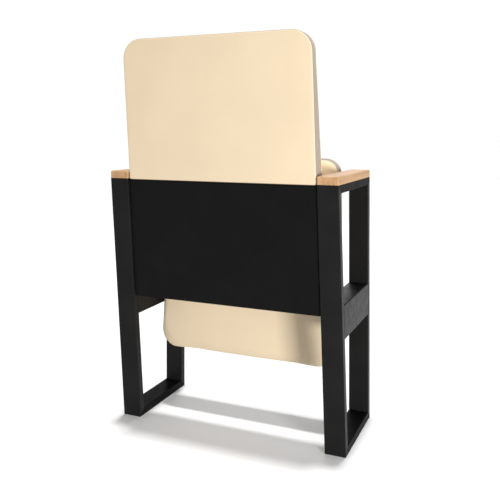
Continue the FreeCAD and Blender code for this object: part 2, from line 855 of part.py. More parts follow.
def rail_caps():
    """Plastic plugs in the cross rail's ends."""
    body = new_body("cross_rail_caps")
    lean_back(body)
    middle = up_the_rake("cross_rail_centre")
    inside = "tube_wall + cap_gap"
    for side in (False, True):
        sign = "-" if side else ""
        plug = sketch_on(body, "YZ_Plane", f"{sign}(inner_x + cross_rail_overlap)")
        rectangle(
            plug,
            f"-2 * tube_depth + {inside}",
            f"-tube_depth - ({inside})",
            f"{middle} - cross_rail_height / 2 + {inside}",
            f"{middle} + cross_rail_height / 2 - ({inside})",
        )
        add(body, "Pad", plug, "cap_depth", back=not side)
    return body


def back_lug():
    """Plate welded to the post's front face; the board is bolted to it."""
    body = new_body("back_lug_left")
    lean_back(body)
    plate = sketch_on(body, "XZ_Plane", "tube_depth")
    middle = up_the_rake("lug_centre")
    rectangle(
        plate,
        "inner_x - lug_reach",
        "inner_x + cross_rail_overlap",
        f"{middle} - lug_height / 2",
        f"{middle} + lug_height / 2",
    )
    add(body, "Pad", plate, "lug_thickness")
    hole = sketch_on(body, "XZ_Plane", "tube_depth + lug_thickness + overrun")
    circle(hole, "inner_x - bolt_inset", middle, "bolt_radius + hole_gap")
    add(body, "Pocket", hole, "lug_thickness + 2 * overrun")
    return body


def back_bolts():
    """Flat-head bolts through the board, two into the lugs and two through the cross rail."""
    body = new_body("back_bolts")
    lean_back(body)
    heads = sketch_on(body, "XZ_Plane", "board_start")
    bolt_circles(heads, "bolt_head_radius")
    add(body, "Pad", heads, "bolt_head_height")
    for centre, reach in (("lug_centre", "lug_thickness"), ("cross_rail_centre", "tube_depth")):
        shanks = sketch_on(body, "XZ_Plane", "board_start + bolt_head_height")
        for side in ("-", ""):
            circle(shanks, f"{side}(inner_x - bolt_inset)", up_the_rake(centre), "bolt_radius")
        length = f"tube_depth + {reach} + nut_height - board_start - bolt_head_height"
        add(body, "Pad", shanks, length)
    return body


def back_nuts():
    """Hexagon nuts on the bolts, in front of the lugs and the cross rail."""
    body = new_body("back_nuts")
    lean_back(body)
    for centre, reach in (("lug_centre", "lug_thickness"), ("cross_rail_centre", "tube_depth")):
        for side in ("-", ""):
            nut = sketch_on(body, "XZ_Plane", f"tube_depth + {reach}")
            x = f"{side}(inner_x - bolt_inset)"
            hexagon(nut, x, up_the_rake(centre), "nut_radius")
            circle(nut, x, up_the_rake(centre), "bolt_radius + running_gap")
            add(body, "Pad", nut, "nut_height")
    return body


def hexagon(sketch, x, y, radius):
    corners = []
    for corner in range(6):
        turn = corner * 60
        corners.append((f"{x} + {radius} * cos({turn})", f"{y} + {radius} * sin({turn})"))
    polygon(sketch, corners)


# Cushions: each is one loft through rounded outlines, from the rim up over the crown


def cushion_shape(pad):
    """A crowned cushion in its own plane: X, then along it, then depth towards the sitter as -Y."""

    def ring(inset, rise_low, rise_high):
        half = pad["half_width"] - inset
        low = pad["low"] + inset
        high = pad["high"] - inset
        run = pad["high"] - pad["low"]

        def point(x, along):
            share = (along - pad["low"]) / run
            return Vector(x, -(rise_low + (rise_high - rise_low) * share), along)

        edges = []
        top = max(pad["corner_high"] - inset, pad["corner_high"] * LEAST_CORNER_SHARE)
        foot = max(pad["corner_low"] - inset, pad["corner_low"] * LEAST_CORNER_SHARE)
        corners = ((1, low, foot, 1), (1, high, top, -1), (-1, high, top, -1), (-1, low, foot, 1))
        arcs = []
        for side, level, radius, inward in corners:
            bend = radius * (1 - math.sqrt(0.5))
            on_side = point(side * half, level + inward * radius)
            middle = point(side * (half - bend), level + inward * bend)
            on_end = point(side * (half - radius), level)
            arcs.append((on_end, middle, on_side) if side * inward > 0 else (on_side, middle, on_end))
        for number, (start, middle, end) in enumerate(arcs):
            edges.append(Part.Arc(start, middle, end).toShape())
            edges.append(Part.makeLine(end, arcs[(number + 1) % 4][0]))
        return Part.Wire(edges)

    edge = value_of("soft_edge")
    rim = pad["rim"]
    low = pad["edge_low"]
    high = pad["edge_high"]
    crown = pad["crown"]
    rings = [
        ring(edge * EDGE_TUCK_SHARE, rim, rim),
        ring(0, (rim + low) / 2, (rim + high) / 2),
    ]
    for step in range(EDGE_STEPS + 1):
        turn = math.pi / 2 * step / EDGE_STEPS
        inset = edge * (1 - math.cos(turn))
        drop = edge * (1 - math.sin(turn))
        rings.append(ring(inset, low - drop, high - drop))
    for step in range(1, CROWN_STEPS + 1):
        share = step / CROWN_STEPS
        rise = crown * math.sin(math.pi / 2 * share)
        rings.append(ring(edge + pad["shoulder"] * share, low + rise, high + rise))
    return Part.makeLoft(rings, True, True)


def back_cushion():
    """Foam front of the backrest; its rim wraps the board's edges down to the rear shell."""
    pad = {
        "half_width": value_of("back_width / 2"),
        "low": value_of(up_the_rake("back_cushion_bottom")),
        "high": value_of(up_the_rake("back_top")),
        "corner_low": value_of("back_lower_corner"),
        "corner_high": value_of("back_corner"),
        "rim": value_of("board_start"),
        "edge_low": value_of("back_edge_lower"),
        "edge_high": value_of("back_edge_upper"),
        "crown": value_of("back_crown"),
        "shoulder": value_of("cushion_shoulder"),
    }
    shape = cushion_shape(pad)
    gap = value_of("seat_gap")
    rim = value_of("board_rim") - gap
    half = pad["half_width"] - rim
    depth = value_of("board_front") - pad["rim"]
    over = value_of("overrun")
    low = pad["low"] - over
    high = pad["high"] - rim
    corner = Vector(-half, -value_of("board_front"), low)
    pocket = Part.makeBox(2 * half, depth + over, high - low, corner)
    corners = [e for e in pocket.Edges if runs_along(e, Y_WAY) and e.CenterOfMass.z > high - over]
    shape = shape.cut(pocket.makeFillet(pad["corner_high"] - rim, corners))
    for tool in lug_and_nut_space():
        shape = shape.cut(tool)
    return soft("back_cushion", shape, Placement(
        Vector(0, value_of("rear_y"), 0),
        Rotation(Vector(1, 0, 0), -math.degrees(math.atan(value_of("rake")))),
    ))


def lug_and_nut_space():
    """Room in the foam for the lugs and for the nuts on them."""
    middle = value_of(up_the_rake("lug_centre"))
    gap = value_of("hole_gap")
    tall = value_of("lug_height") + 2 * gap
    tools = []
    for side in (-1, 1):
        near = value_of("inner_x - bolt_inset")
        far = value_of("inner_x")
        span = far - near
        x = near if side > 0 else -far
        front = value_of("board_front")
        corner = Vector(x, -front - gap, middle - tall / 2)
        tools.append(Part.makeBox(span, value_of("board_thickness") + gap, tall, corner))
        room = value_of("nut_radius + hole_gap")
        seat = Vector(side * near, -front, middle)
        tools.append(Part.makeCylinder(room, value_of("nut_height + overrun"), seat, Vector(0, -1, 0)))
    return tools


def soft(label, shape, placement):
    feature = doc.addObject("Part::Feature", label)
    feature.Label = label
    feature.Shape = shape
    feature.Placement = placement
    return feature


# Seat. Its bodies lie in the folded seat's plane: height above its rear end, depth from its underside.


def seat_board():
    """Plywood board inside the seat, which the brackets are screwed to."""
    body = new_body("seat_board")
    turn_to_rear(body)
    high = "seat_length - board_rim"
    half = "seat_width / 2 - board_rim"
    board = slab(body, half, "board_rim", high, "seat_shell_thickness", "board_thickness")
    board = round_edges(body, board, "seat_front_corner - board_rim", corners_at(high))
    round_edges(body, board, "seat_rear_corner - board_rim", corners_at("board_rim"))
    holes = sketch_on(body, "XZ_Plane", "seat_shell_thickness")
    bracket_screw_circles(holes, "screw_radius")
    add(body, "Pocket", holes, "board_thickness", back=True)
    return body


def bracket_screw_circles(sketch, radius):
    for side in ("-", ""):
        for share in (-1, 0, 1):
            x = f"{side}(ear_x - bracket_width / 2)"
            circle(sketch, x, f"pivot_z - seat_rear_end + {share} * bracket_screw_pitch", radius)


def bracket_screws():
    """Screws through the bracket flanges into the seat board."""
    body = new_body("bracket_screws")
    turn_to_rear(body)
    under = "seat_shell_thickness - bracket_thickness"
    heads = sketch_on(body, "XZ_Plane", f"{under} - screw_head_height")
    bracket_screw_circles(heads, "screw_head_radius")
    add(body, "Pad", heads, "screw_head_height")
    shanks = sketch_on(body, "XZ_Plane", under)
    bracket_screw_circles(shanks, "screw_radius")
    add(body, "Pad", shanks, "bracket_thickness + bracket_screw_bite")
    return body


def seat_shell():
    """Upholstered underside of the seat, let in for the bracket flanges and their ears."""
    body = new_body("seat_shell")
    turn_to_rear(body)
    pad = slab(body, "seat_width / 2", "0", "seat_length", "0", "seat_shell_thickness")
    pad = round_edges(body, pad, "seat_front_corner", corners_at("seat_length"))
    pad = round_edges(body, pad, "seat_rear_corner", corners_at("0"))
    recess = sketch_on(body, "XZ_Plane", "seat_shell_thickness")
    middle = "pivot_z - seat_rear_end"
    half = "bracket_length / 2 + hole_gap"
    for side in ("-", ""):
        near = f"{side}(ear_x - bracket_width - hole_gap)"
        far = f"{side}(seat_width / 2 + overrun)"
        rectangle(recess, near, far, f"{middle} - ({half})", f"{middle} + {half}")
    add(body, "Pocket", recess, "seat_shell_thickness + overrun")
    return body


def seat_cushion():
    """Foam seat, crowned in the middle and thicker towards the backrest."""
    pad = {
        "half_width": value_of("seat_width / 2"),
        "low": 0,
        "high": value_of("seat_length"),
        "corner_low": value_of("seat_rear_corner"),
        "corner_high": value_of("seat_front_corner"),
        "rim": value_of("seat_shell_thickness"),
        "edge_low": value_of("seat_edge_rear"),
        "edge_high": value_of("seat_edge_front"),
        "crown": value_of("seat_crown"),
        "shoulder": value_of("cushion_shoulder"),
    }
    shape = cushion_shape(pad)
    gap = value_of("seat_gap")
    rim = value_of("board_rim") - gap
    half = pad["half_width"] - rim
    over = value_of("overrun")
    front = value_of("seat_board_front")
    corner = Vector(-half, -front, rim)
    pocket = Part.makeBox(2 * half, front - pad["rim"] + over, pad["high"] - 2 * rim, corner)
    ends = [e for e in pocket.Edges if runs_along(e, Y_WAY)]
    upper = [e for e in ends if e.CenterOfMass.z > pad["high"] / 2]
    pocket = pocket.makeFillet(pad["corner_high"] - rim, upper)
    ends = [e for e in pocket.Edges if runs_along(e, Y_WAY)]
    lower = [e for e in ends if e.CenterOfMass.z < pad["high"] / 2]
    pocket = pocket.makeFillet(pad["corner_low"] - rim, lower)
    shape = shape.cut(pocket)
    return soft("seat_cushion", shape, Placement(
        Vector(0, value_of("underside_y"), value_of("seat_rear_end")),
        Rotation(Vector(0, 0, 1), 180),
    ))


# Assembly

LEFT_PIECES = (
    rear_post,
    front_post,
    bottom_rail,
    top_rail,
    armrest,
    armrest_screws,
    housing,
    housing_cover,
    hinge_bush,
    pivot_pin,
    stop_pin,
    stop_sleeve,
    seat_bracket,
    spring_stud,
    return_spring,
    back_lug,
)
MIDDLE_PIECES = (
    back_board,
    rear_panel,
    panel_studs,
    back_shell,
    back_cushion,
    cross_rail,
    rail_caps,
    back_bolts,
    back_nuts,
    seat_board,
    seat_shell,
    seat_cushion,
    bracket_screws,
)


def mirrored(piece):
    """The right-hand twin of a left-hand piece."""
    label = piece.Label.replace("_left", "_right")
    twin = doc.addObject("Part::Mirroring", label)
    twin.Label = label
    twin.Source = piece
    twin.Normal = Vector(1, 0, 0)
    return twin


def check(objects):
    """Stops on any failed object or sub-part before anything is written."""
    for thing in doc.Objects:
        if "Invalid" in thing.State or "Error" in thing.State:
            raise ValueError(f"{thing.Label} failed: {thing.State}")
    for piece in objects:
        if piece.Shape.isNull() or not piece.Shape.isValid():
            raise ValueError(f"{piece.Label} has no valid shape")


def main():
    pieces = [make() for make in LEFT_PIECES]
    pieces += [mirrored(piece) for piece in pieces]
    pieces += [make() for make in MIDDLE_PIECES]
    doc.recompute()
    check(pieces)
    os.makedirs("parts", exist_ok=True)
    for piece in pieces:
        piece.Shape.exportStep(f"parts/{piece.Label}.step")
    print(len(pieces), "pieces written")


main()
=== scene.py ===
"""Looks of a conference chair with a tip-up seat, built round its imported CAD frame.

Every length is in metres, in the frame of the CAD model: +Z up, -Y the way the sitter faces.
"""

import json
import math

import bmesh
import bpy
import numpy as np
from bpy.props import FloatProperty, FloatVectorProperty, PointerProperty
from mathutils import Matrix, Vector
from mathutils.bvhtree import BVHTree


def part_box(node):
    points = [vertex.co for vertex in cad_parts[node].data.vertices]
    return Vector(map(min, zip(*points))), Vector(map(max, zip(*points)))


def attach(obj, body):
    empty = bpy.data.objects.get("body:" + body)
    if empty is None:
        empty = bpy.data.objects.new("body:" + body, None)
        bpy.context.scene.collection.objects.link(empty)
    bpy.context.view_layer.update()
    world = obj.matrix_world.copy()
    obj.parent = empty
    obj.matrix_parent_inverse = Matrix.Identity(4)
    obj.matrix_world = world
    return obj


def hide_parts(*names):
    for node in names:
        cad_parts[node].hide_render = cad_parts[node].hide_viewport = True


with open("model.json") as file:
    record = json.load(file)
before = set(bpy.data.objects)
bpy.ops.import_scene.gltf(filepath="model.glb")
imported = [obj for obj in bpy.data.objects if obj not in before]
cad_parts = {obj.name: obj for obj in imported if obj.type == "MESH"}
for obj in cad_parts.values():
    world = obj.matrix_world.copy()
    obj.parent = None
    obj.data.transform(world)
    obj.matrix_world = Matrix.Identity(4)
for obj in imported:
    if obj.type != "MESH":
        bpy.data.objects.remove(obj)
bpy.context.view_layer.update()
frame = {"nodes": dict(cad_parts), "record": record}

bl_info = {
    "name": "Tip-up conference chair",
    "version": (1, 0, 0),
    "blender": (4, 5, 0),
    "location": "3D View > Sidebar > Chair",
    "description": "Upholstery, finishes and studio for a conference chair with a tip-up seat",
    "category": "Object",
}

MM = 0.001

# Steps of the modelled pads and seams
CORNER_STEPS = 9
SIDE_STEPS = 28
EDGE_STEPS = 6
CROWN_STEPS = 12
MIDDLE_STEPS = 5
SEAM_SIDES = 8

# Shapes of pads that a user wouldn't change
PAD_GAP = 0.2 * MM  # keeps a pad off what it is mounted on
CUSHION_TUCK = 2.5 * MM  # how far the foot of a cushion's side is drawn under it
COVER_TUCK = 0.6 * MM
FOOT_SHARE = 0.06  # height in a pad's side, as a share, where a third of the tuck is left
UPRIGHT_SHARE = 0.16  # height in a pad's side, as a share, from which it stands upright
COVER_FOOT_CORNER = 4 * MM
BACK_COVER_CROWN = 0.8 * MM
SEAT_COVER_CROWN = 0.6 * MM
COVER_CROWN_REACH = 90 * MM

# Simulated cloth
SIM_FRAMES = 20
CLOTH_QUALITY = 5
SMOOTH_ROUNDS = 60

# Shares of the frame's colour that the housings and rails take as painted shade, and of the wood's
# colour that its black stain takes
HOUSING_PAINTED_SHADE = 0.5
RAIL_PAINTED_SHADE = 0.45
STAIN = 0.06

# Studio
SENSOR_WIDTH = 36
CAMERA_FAR = 200
FLOOR_REACH = 40
FLOOR_CLOUDS = 0.995  # share of the floor's colour in its faint darker clouds
BACKDROP_RADIUS = 60
OVERHEAD_ANGLE = math.radians(4)
LIGHT_AIM = Vector((0, 0, 0.35))
SIDE_LIGHT_SIZE = (0.68, 0.4)
SIDE_LIGHT_RISE = 0.02  # above its aim, as a share of its distance
FRONT_LIGHT_SIZE = (2.4, 1.8)
FRONT_LIGHT_PLACE = Vector((0.9, -3.2, 1.9))


# Settings that a user would change


class ChairUpholstery(bpy.types.PropertyGroup):
    """Sizes and colours of the cushions and covers"""

    cover_colour: FloatVectorProperty(
        name="Cover colour",
        description="Colour of the smooth cover of the seat and the backrest",
        subtype="COLOR",
        size=3,
        min=0,
        max=1,
        default=(0.86, 0.7, 0.485),
    )
    border_colour: FloatVectorProperty(
        name="Border colour",
        description="Colour of the greyer cloth round the sides of the cushions",
        subtype="COLOR",
        size=3,
        min=0,
        max=1,
        default=(0.42, 0.358, 0.292),
    )
    voxel: FloatProperty(
        name="Cloth grid",
        description="Spacing of the cloth points on a cushion",
        default=5.5 * MM,
        min=3 * MM,
        unit="LENGTH",
    )
    pressure: FloatProperty(
        name="Foam pressure",
        description="How hard the foam presses the cover of a cushion out",
        default=4,
        min=0,
    )
    face_swell: FloatProperty(
        name="Face swell",
        description="The furthest that the foam presses out the face of a cushion",
        default=7 * MM,
        unit="LENGTH",
    )
    side_swell: FloatProperty(
        name="Side swell",
        description="The furthest that the foam presses out the sides of a cushion",
        default=1.2 * MM,
        unit="LENGTH",
    )
    soft_edge: FloatProperty(
        name="Cushion edge radius",
        description="Round between a cushion's side and its face",
        default=9 * MM,
        unit="LENGTH",
    )
    cover_edge: FloatProperty(
        name="Cover edge radius",
        description="Round along the edge of the rear and lower covers",
        default=3.5 * MM,
        unit="LENGTH",
    )
    back_foot_side: FloatProperty(
        name="Backrest side, foot",
        description="Height of the backrest cushion's side at its foot",
        default=67 * MM,
        unit="LENGTH",
    )
    back_top_side: FloatProperty(
        name="Backrest side, top",
        description="Height of the backrest cushion's side at its top",
        default=29 * MM,
        unit="LENGTH",
    )
    back_foot_corner: FloatProperty(
        name="Backrest corner, foot",
        description="Corner radius of the backrest cushion at its foot",
        default=30 * MM,
        unit="LENGTH",
    )
    back_top_corner: FloatProperty(
        name="Backrest corner, top",
        description="Corner radius of the backrest at its top",
        default=50 * MM,
        unit="LENGTH",
    )
    back_crown: FloatProperty(
        name="Backrest crown",
        description="How far the backrest's face stands above its edge",
        default=5 * MM,
        unit="LENGTH",
    )
    seat_rear_side: FloatProperty(
        name="Seat side, rear",
        description="Height of the seat cushion's side at its rear end",
        default=65 * MM,
        unit="LENGTH",
    )
    seat_front_side: FloatProperty(
        name="Seat side, front",
        description="Height of the seat cushion's side at its front end",
        default=21 * MM,
        unit="LENGTH",
    )
    seat_rear_corner: FloatProperty(
        name="Seat corner, rear",
        description="Corner radius of the seat at its rear end",
        default=50 * MM,
        unit="LENGTH",
    )
    seat_front_corner: FloatProperty(
        name="Seat corner, front",
        description="Corner radius of the seat at its front end",
        default=42 * MM,
        unit="LENGTH",
    )
    seat_crown: FloatProperty(
        name="Seat crown",
        description="How far the seat's face stands above its edge",
        default=5 * MM,
        unit="LENGTH",
    )
    crown_reach: FloatProperty(
        name="Crown reach",
        description="How far in from its edge a cushion's face goes on rising",
        default=122 * MM,
        unit="LENGTH",
    )
    foam_fill: FloatProperty(
        name="Foam fill",
        description="From 0, slack, to 1, tight",
        default=0.85,
        min=0,
        max=1,
    )
    draw_in: FloatProperty(
        name="Side draw-in",
        description="How far a cushion's sides pull in between its corners",
        default=2.5 * MM,
        unit="LENGTH",
    )
    seam_radius: FloatProperty(
        name="Seam radius",
        description="Half the thickness of the folded seam lines",
        default=0.9 * MM,
        unit="LENGTH",
    )


class ChairFinish(bpy.types.PropertyGroup):
    """Colours of the steel, the panel and the wood"""

    steel_colour: FloatVectorProperty(
        name="Frame colour",
        description="Colour of the powder coat on the steel frame",
        subtype="COLOR",
        size=3,
        min=0,
        max=1,
        default=(0.0125, 0.0125, 0.0125),
    )
    panel_colour: FloatVectorProperty(
        name="Panel colour",
        description="Colour of the matt rear panel",
        subtype="COLOR",
        size=3,
        min=0,
        max=1,
        default=(0.004, 0.004, 0.004),
    )
    wood_light: FloatVectorProperty(
        name="Wood, light",
        description="Lighter colour of the armrests' grain",
        subtype="COLOR",
        size=3,
        min=0,
        max=1,
        default=(0.655, 0.415, 0.225),
    )
    wood_dark: FloatVectorProperty(
        name="Wood, dark",
        description="Darker colour of the armrests' grain",
        subtype="COLOR",
        size=3,
        min=0,
        max=1,
        default=(0.53, 0.31, 0.155),
    )


class ChairStudio(bpy.types.PropertyGroup):
    """Camera, lights and floor"""

    camera_place: FloatVectorProperty(
        name="Camera place",
        description="Where the camera stands, behind the chair and to its right",
        subtype="TRANSLATION",
        unit="LENGTH",
        size=3,
        default=(-0.7129, 1.5846, 0.7634),
    )
    camera_turn: FloatProperty(
        name="Camera turn",
        description="Turn of the level camera about the vertical",
        default=math.radians(203.31),
        subtype="ANGLE",
    )
    lens: FloatProperty(
        name="Lens",
        description="Focal length of the camera, in millimetres",
        default=47.84,
        min=10,
    )
    drop: FloatProperty(
        name="Lens drop",
        description="How far the view is lowered with a level camera, as a share of its width",
        default=-0.2398,
    )
    overhead: FloatProperty(
        name="Overhead light",
        description="Strength of the wide light straight above",
        default=2,
        min=0,
    )
    key: FloatProperty(
        name="Side light",
        description="Power of the low soft light behind the chair's right side",
        default=74,
        min=0,
        subtype="POWER",
    )
    key_turn: FloatProperty(
        name="Side light turn",
        description="Turn of the side light from straight behind the chair",
        default=math.radians(48.2),
        subtype="ANGLE",
    )
    key_reach: FloatProperty(
        name="Side light distance",
        description="How far the side light stands from the chair",
        default=3,
        unit="LENGTH",
    )
    front: FloatProperty(
        name="Front light",
        description="Power of the large soft light in front of the chair",
        default=26,
        min=0,
        subtype="POWER",
    )
    room: FloatProperty(
        name="Room light",
        description="Strength of the even light from all round",
        default=0.5,
        min=0,
    )
    floor_colour: FloatVectorProperty(
        name="Floor colour",
        description="Colour of the plain floor",
        subtype="COLOR",
        size=3,
        min=0,
        max=1,
        default=(0.93, 0.93, 0.93),
    )


# Planes that the soft pieces are built on


class Plane:
    """Its directions are X, then along the plane, then the depth that a cushion stands up in."""

    def __init__(self, origin, along, depth):
        self.origin = origin
        self.along = along
        self.depth = depth

    def to_row(self, point):
        """A point of the plane in the frame of the CAD model."""
        across = Vector((point[0], 0, 0))
        return self.origin + across + self.along * point[1] + self.depth * point[2]

    def from_row(self, point):
        """A point of the CAD model in this plane's own directions."""
        away = point - self.origin
        return Vector((point.x, away.dot(self.along), away.dot(self.depth)))

    def box(self, node_name):
        """Lowest and highest corner of a CAD node in this plane's own directions."""
        places = [self.from_row(v.co) for v in frame["nodes"][node_name].data.vertices]
        low = Vector([min(p[i] for p in places) for i in range(3)])
        high = Vector([max(p[i] for p in places) for i in range(3)])
        return low, high


def back_plane():
    """The rear face of the backrest, which leans back with the posts."""
    panel = frame["nodes"]["rear_panel"].data
    widest = max(panel.polygons, key=lambda face: face.area if face.normal.y > 0 else 0)
    depth = -widest.normal
    along = Vector((1, 0, 0)).cross(-depth)
    reach = max(v.co.dot(-depth) for v in frame["nodes"]["back_shell"].data.vertices)
    return Plane(Vector((0, reach / -depth.y, 0)), along.normalized(), depth)


def seat_plane():
    """The underside of the folded seat; depth runs to its sitting face, which looks backwards."""
    low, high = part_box("seat_shell")
    return Plane(Vector((0, low.y, low.z)), Vector((0, 0, 1)), Vector((0, 1, 0)))


# Forms of the soft pieces


class Pad:
    """Sizes of a pad in its plane. Heights are measured from the face on which it is mounted.

    Its way is 1 where its face looks along the plane's depth, and -1 where it looks back.
    """

    def __init__(self, low, high, mount, way, corners, heights, crown, shoulder, edge, tuck, draw):
        self.half = high[0]
        self.low = low[1]
        self.high = high[1]
        self.mount = mount
        self.way = way
        self.corner_low, self.corner_high = corners
        self.height_low, self.height_high = heights
        self.crown = crown
        self.shoulder = shoulder
        self.edge = edge
        self.tuck = tuck
        self.draw = draw

    def height(self, along):
        """Height of the pad's side, which runs evenly from its low end to its high end."""
        share = (along - self.low) / (self.high - self.low)
        return self.height_low + (self.height_high - self.height_low) * share

    def seam_depth(self):
        """How far the border's seam, half round the edge, lies below the face."""
        return self.edge * (1 - math.sin(math.pi / 4))

    def outline(self, inset):
        """Points round the pad, counter-clockwise, with as many points at any inset."""
        half = self.half - inset
        low = self.low + inset
        high = self.high - inset
        foot = max(self.corner_low - inset, self.corner_low / 3, MM)
        top = max(self.corner_high - inset, self.corner_high / 3, MM)
        centres = (
            (half - foot, low + foot, foot, -math.pi / 2),
            (half - top, high - top, top, 0),
            (top - half, high - top, top, math.pi / 2),
            (foot - half, low + foot, foot, math.pi),
        )
        corners = []
        for x, along, radius, start in centres:
            corner = []
            for step in range(CORNER_STEPS + 1):
                turn = start + math.pi / 2 * step / CORNER_STEPS
                corner.append((x + radius * math.cos(turn), along + radius * math.sin(turn)))
            corners.append(corner)
        points = []
        for number, corner in enumerate(corners):
            points += corner
            last = corner[-1]
            after = corners[(number + 1) % 4][0]
            for step in range(1, SIDE_STEPS):
                share = step / SIDE_STEPS
                points.append(tuple(last[i] + (after[i] - last[i]) * share for i in range(2)))
        return points

    def drawn(self, x, along, height):
        """Pulls the sides in between the corners, most at half height."""
        run = self.high - self.low
        middle = (self.high + self.low) / 2
        most = self.draw * math.sin(math.pi * min(1, max(0, height / self.height(along))))
        sideways = math.sin(math.pi * min(1, max(0, (along - self.low) / run)))
        lengthways = math.sin(math.pi * min(1, max(0, (x + self.half) / (2 * self.half))))
        x *= 1 - most * sideways / self.half
        along = middle + (along - middle) * (1 - most * lengthways / (run / 2))
        return x, along

    def rings(self):
        """Each ring's inset from the outline, and its height as a share of the side or above it."""
        steps = [(self.tuck, 0, 0), (self.tuck / 3, FOOT_SHARE, 0)]
        steps += [(0, UPRIGHT_SHARE, 0), (0, 0.5, 0)]
        for step in range(EDGE_STEPS + 1):
            turn = math.pi / 2 * step / EDGE_STEPS
            inset = self.edge * (1 - math.cos(turn))
            steps.append((inset, 1, -self.edge * (1 - math.sin(turn))))
        for step in range(1, CROWN_STEPS + 1):
            share = step / CROWN_STEPS
            rise = self.crown * math.sin(math.pi / 2 * share)
            steps.append((self.edge + self.shoulder * share, 1, rise))
        return steps

    def mesh(self, name):
        """A closed mesh of the pad, in its plane's own directions."""
        made = bmesh.new()
        loops = []
        for inset, side_share, above in self.rings():
            loop = []
            for x, along in self.outline(inset):
                height = self.height(along) * side_share + above
                drawn_x, drawn_along = self.drawn(x, along, height)
                depth = self.mount + self.way * height
                loop.append(made.verts.new((drawn_x, drawn_along, depth)))
            loops.append(loop)
        middle = (self.low + self.high) / 2
        last = [v.co.copy() for v in loops[-1]]
        for step in range(1, MIDDLE_STEPS + 1):
            share = 1 - step / (MIDDLE_STEPS + 1)
            loop = []
            for place in last:
                along = middle + (place.y - middle) * share
                depth = self.mount + self.way * (self.height(along) + self.crown)
                loop.append(made.verts.new((place.x * share, along, depth)))
            loops.append(loop)
        count = len(loops[0])
        for lower, upper in zip(loops, loops[1:]):
            for i in range(count):
                made.faces.new((lower[i], lower[(i + 1) % count], upper[(i + 1) % count], upper[i]))
        made.faces.new(loops[-1])
        made.faces.new(reversed(loops[0]))
        bmesh.ops.recalc_face_normals(made, faces=made.faces)
        mesh = bpy.data.meshes.new(name)
        made.to_mesh(mesh)
        made.free()
        return mesh


def shown(name, data):
    """Puts a mesh, lamp or camera into the scene as an object."""
    piece = bpy.data.objects.new(name, data)
    bpy.context.scene.collection.objects.link(piece)
    return piece


def baked(piece):
    """Puts the result of the piece's modifiers into its mesh."""
    bpy.context.view_layer.update()
    seen = piece.evaluated_get(bpy.context.evaluated_depsgraph_get())
    mesh = bpy.data.meshes.new_from_object(seen)
    piece.modifiers.clear()
    old = piece.data
    piece.data = mesh
    mesh.name = piece.name
    bpy.data.meshes.remove(old)


def regrid(piece, voxel):
    """Gives a pad an even grid of points, as cloth needs."""
    remesh = piece.modifiers.new("Grid", "REMESH")
    remesh.mode = "VOXEL"
    remesh.voxel_size = voxel
    baked(piece)


def swell(piece, pad, soft):
    """Lets foam press the cover of a cushion out as simulated cloth.

    The cover is tight, so the small folds of the thin cloth are smoothed out of how it moved.
    """
    mesh = piece.data
    before = places_of(mesh)
    after = pressed_out(piece, pad, soft)
    ends = np.empty(len(mesh.edges) * 2, dtype=int)
    mesh.edges.foreach_get("vertices", ends)
    moves = smoothed(after - before, ends.reshape(-1, 2))
    sideways = np.linalg.norm(moves[:, :2], axis=1, keepdims=True)
    least = soft.side_swell / 100  # a point that stays still has nothing to divide by
    moves[:, :2] *= np.minimum(1, soft.side_swell / np.maximum(sideways, least))
    moves[:, 2] = np.clip(moves[:, 2], -soft.face_swell, soft.face_swell)
    mesh.vertices.foreach_set("co", (before + moves).ravel())
    mesh.update()


def places_of(mesh):
    """The places of a mesh's points, one row each."""
    places = np.empty(len(mesh.vertices) * 3)
    mesh.vertices.foreach_get("co", places)
    return places.reshape(-1, 3)


def pressed_out(piece, pad, soft):
    """Where the foam's pressure takes the points of a cover that is held at its mounted face."""
    group = piece.vertex_groups.new(name="mounted")
    for v in piece.data.vertices:
        if (v.co.z - pad.mount) * pad.way < MM:
            group.add([v.index], 1, "REPLACE")
    cloth = piece.modifiers.new("Swell", "CLOTH")
    cloth.settings.quality = CLOTH_QUALITY
    cloth.settings.vertex_group_mass = group.name
    cloth.settings.use_pressure = True
    cloth.settings.uniform_pressure_force = soft.pressure
    cloth.settings.effector_weights.gravity = 0
    cloth.point_cache.frame_start = 1
    cloth.point_cache.frame_end = SIM_FRAMES
    for number in range(1, SIM_FRAMES + 1):
        bpy.context.scene.frame_set(number)
    seen = piece.evaluated_get(bpy.context.evaluated_depsgraph_get())
    places = places_of(seen.data)
    piece.modifiers.clear()
    bpy.context.scene.frame_set(1)
    return places


def smoothed(moves, ends):
    """Moves of a mesh's points, each averaged with its neighbours' again and again."""
    count = len(moves)
    here = np.concatenate((ends[:, 0], ends[:, 1]))
    there = np.concatenate((ends[:, 1], ends[:, 0]))
    neighbours = np.maximum(1, np.bincount(here, minlength=count))
    for _ in range(SMOOTH_ROUNDS):
        mean = [np.bincount(here, moves[there, i], minlength=count) / neighbours for i in range(3)]
        moves = (moves + np.stack(mean, axis=1)) / 2
    return moves


def split_border(piece, pad):
    """Cuts the cover along the seam of its border, and gives all below that the border's cloth."""
    slope = (pad.height_high - pad.height_low) / (pad.high - pad.low)
    seam = Vector((0, pad.low, pad.mount + pad.way * (pad.height_low - pad.seam_depth())))
    up = Vector((0, -slope * pad.way, 1)).normalized() * pad.way
    made = bmesh.new()
    made.from_mesh(piece.data)
    everything = made.verts[:] + made.edges[:] + made.faces[:]
    bmesh.ops.bisect_plane(made, geom=everything, dist=0.01 * MM, plane_co=seam, plane_no=up)
    for face in made.faces:
        face.material_index = 1 if (face.calc_center_median() - seam).dot(up) < 0 else 0
    made.to_mesh(piece.data)
    made.free()


